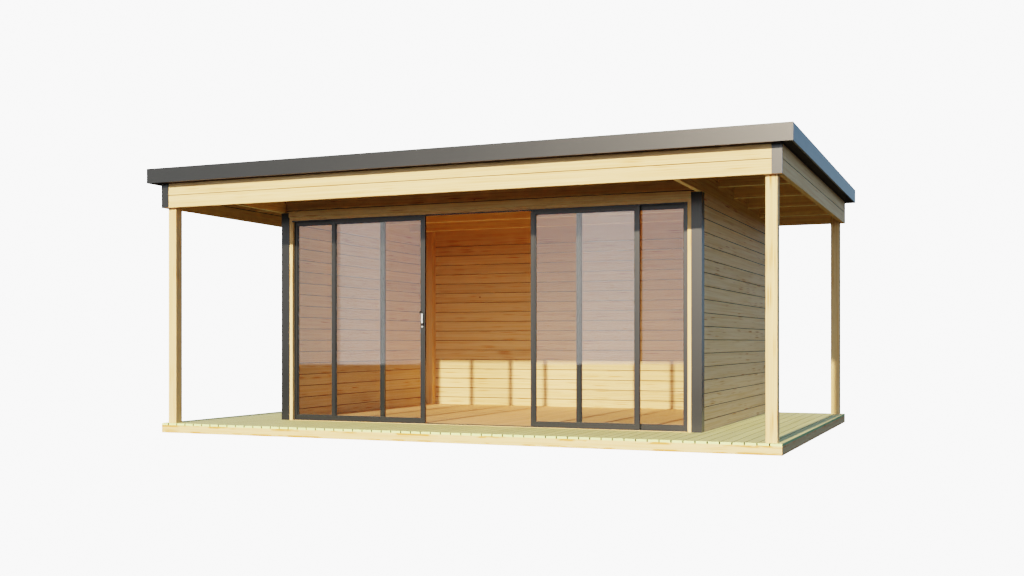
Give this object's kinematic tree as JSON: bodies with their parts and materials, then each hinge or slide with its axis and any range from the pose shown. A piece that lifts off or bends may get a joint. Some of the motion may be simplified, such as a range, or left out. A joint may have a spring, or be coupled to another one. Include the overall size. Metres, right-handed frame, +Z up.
{
  "type": "annex cabin with veranda and sliding doors",
  "caption": "Flat roofed timber annex cabin on a low deck with a covered veranda on three sides, log walls, and glazed aluminium sliding doors across the front.",
  "frame": {"origin": "on the ground under the centre of the deck and of the roof", "axes": "+Z up, +Y from the front of the veranda to the back wall, +X to the right seen from the front"},
  "size_m": [6.284, 4.364, 2.61],
  "materials": {
    "wall_timber": "planed spruce logs",
    "frame_timber": "planed spruce posts and beams",
    "roof_timber": "planed spruce joists and boards",
    "floor_timber": "planed floor boards",
    "deck_timber": "pressure treated decking",
    "deck_fascia_timber": "planed fascia boards",
    "fascia_metal": "powder coated sheet",
    "trim_metal": "powder coated folded angle",
    "door_metal": "powder coated aluminium sections",
    "glass": "clear toughened",
    "handle_steel": "satin",
    "handle_black": "moulded",
    "eaves_dark": "dark stained boxed eaves",
    "roof_sheet": "matt roofing membrane"
  },
  "bodies": {
    "cabin": {"front_deck_fascia": "deck_fascia_timber", "back_deck_fascia": "deck_fascia_timber", "side_deck_fascias": "deck_fascia_timber", "base_bearers": "deck_fascia_timber", "front_deck": "deck_timber", "left_deck": "deck_timber", "right_deck": "deck_timber", "cabin_floor": "floor_timber", "door_sill": "frame_timber", "back_wall": "wall_timber", "left_wall": "wall_timber", "right_wall": "wall_timber", "cabin_front_left_post": "frame_timber", "cabin_front_right_post": "frame_timber", "cabin_back_posts": "frame_timber", "front_header": "wall_timber", "header_board": "wall_timber", "door_jambs": "frame_timber", "door_head": "frame_timber", "door_tracks": "door_metal", "left_fixed_frame": "door_metal", "left_fixed_glass": "glass", "right_fixed_frame": "door_metal", "right_fixed_glass": "glass", "veranda_front_left_post": "frame_timber", "veranda_back_left_post": "frame_timber", "veranda_front_right_post": "frame_timber", "veranda_back_right_post": "frame_timber", "front_beam": "frame_timber", "back_beam": "frame_timber", "left_beam": "frame_timber", "right_beam": "frame_timber", "left_plate": "frame_timber", "right_plate": "frame_timber", "roof_joists": "roof_timber", "joist_blocking": "roof_timber", "roof_boards": "roof_timber", "roof_membrane": "roof_sheet", "eaves_boxes": "eaves_dark", "front_fascia": "fascia_metal", "back_fascia": "fascia_metal", "left_fascia": "fascia_metal", "right_fascia": "fascia_metal", "cabin_corner_trims": "trim_metal", "beam_corner_trims": "trim_metal"},
    "left_leaf": {"left_leaf_frame": "door_metal", "left_leaf_glass": "glass", "handle_mounts": "handle_black", "handle_bar": "handle_steel", "lock_cylinder": "handle_steel"},
    "right_leaf": {"right_leaf_frame": "door_metal", "right_leaf_glass": "glass"}
  },
  "joints": [
    {"name": "left_leaf_slide", "type": "slide", "parent": "cabin", "child": "left_leaf", "axis": [1, 0, 0], "range_m": [-0.463, 0.542]},
    {"name": "right_leaf_slide", "type": "slide", "parent": "cabin", "child": "right_leaf", "axis": [-1, 0, 0], "range_m": [-0.4375, 0.5675]}
  ]
}
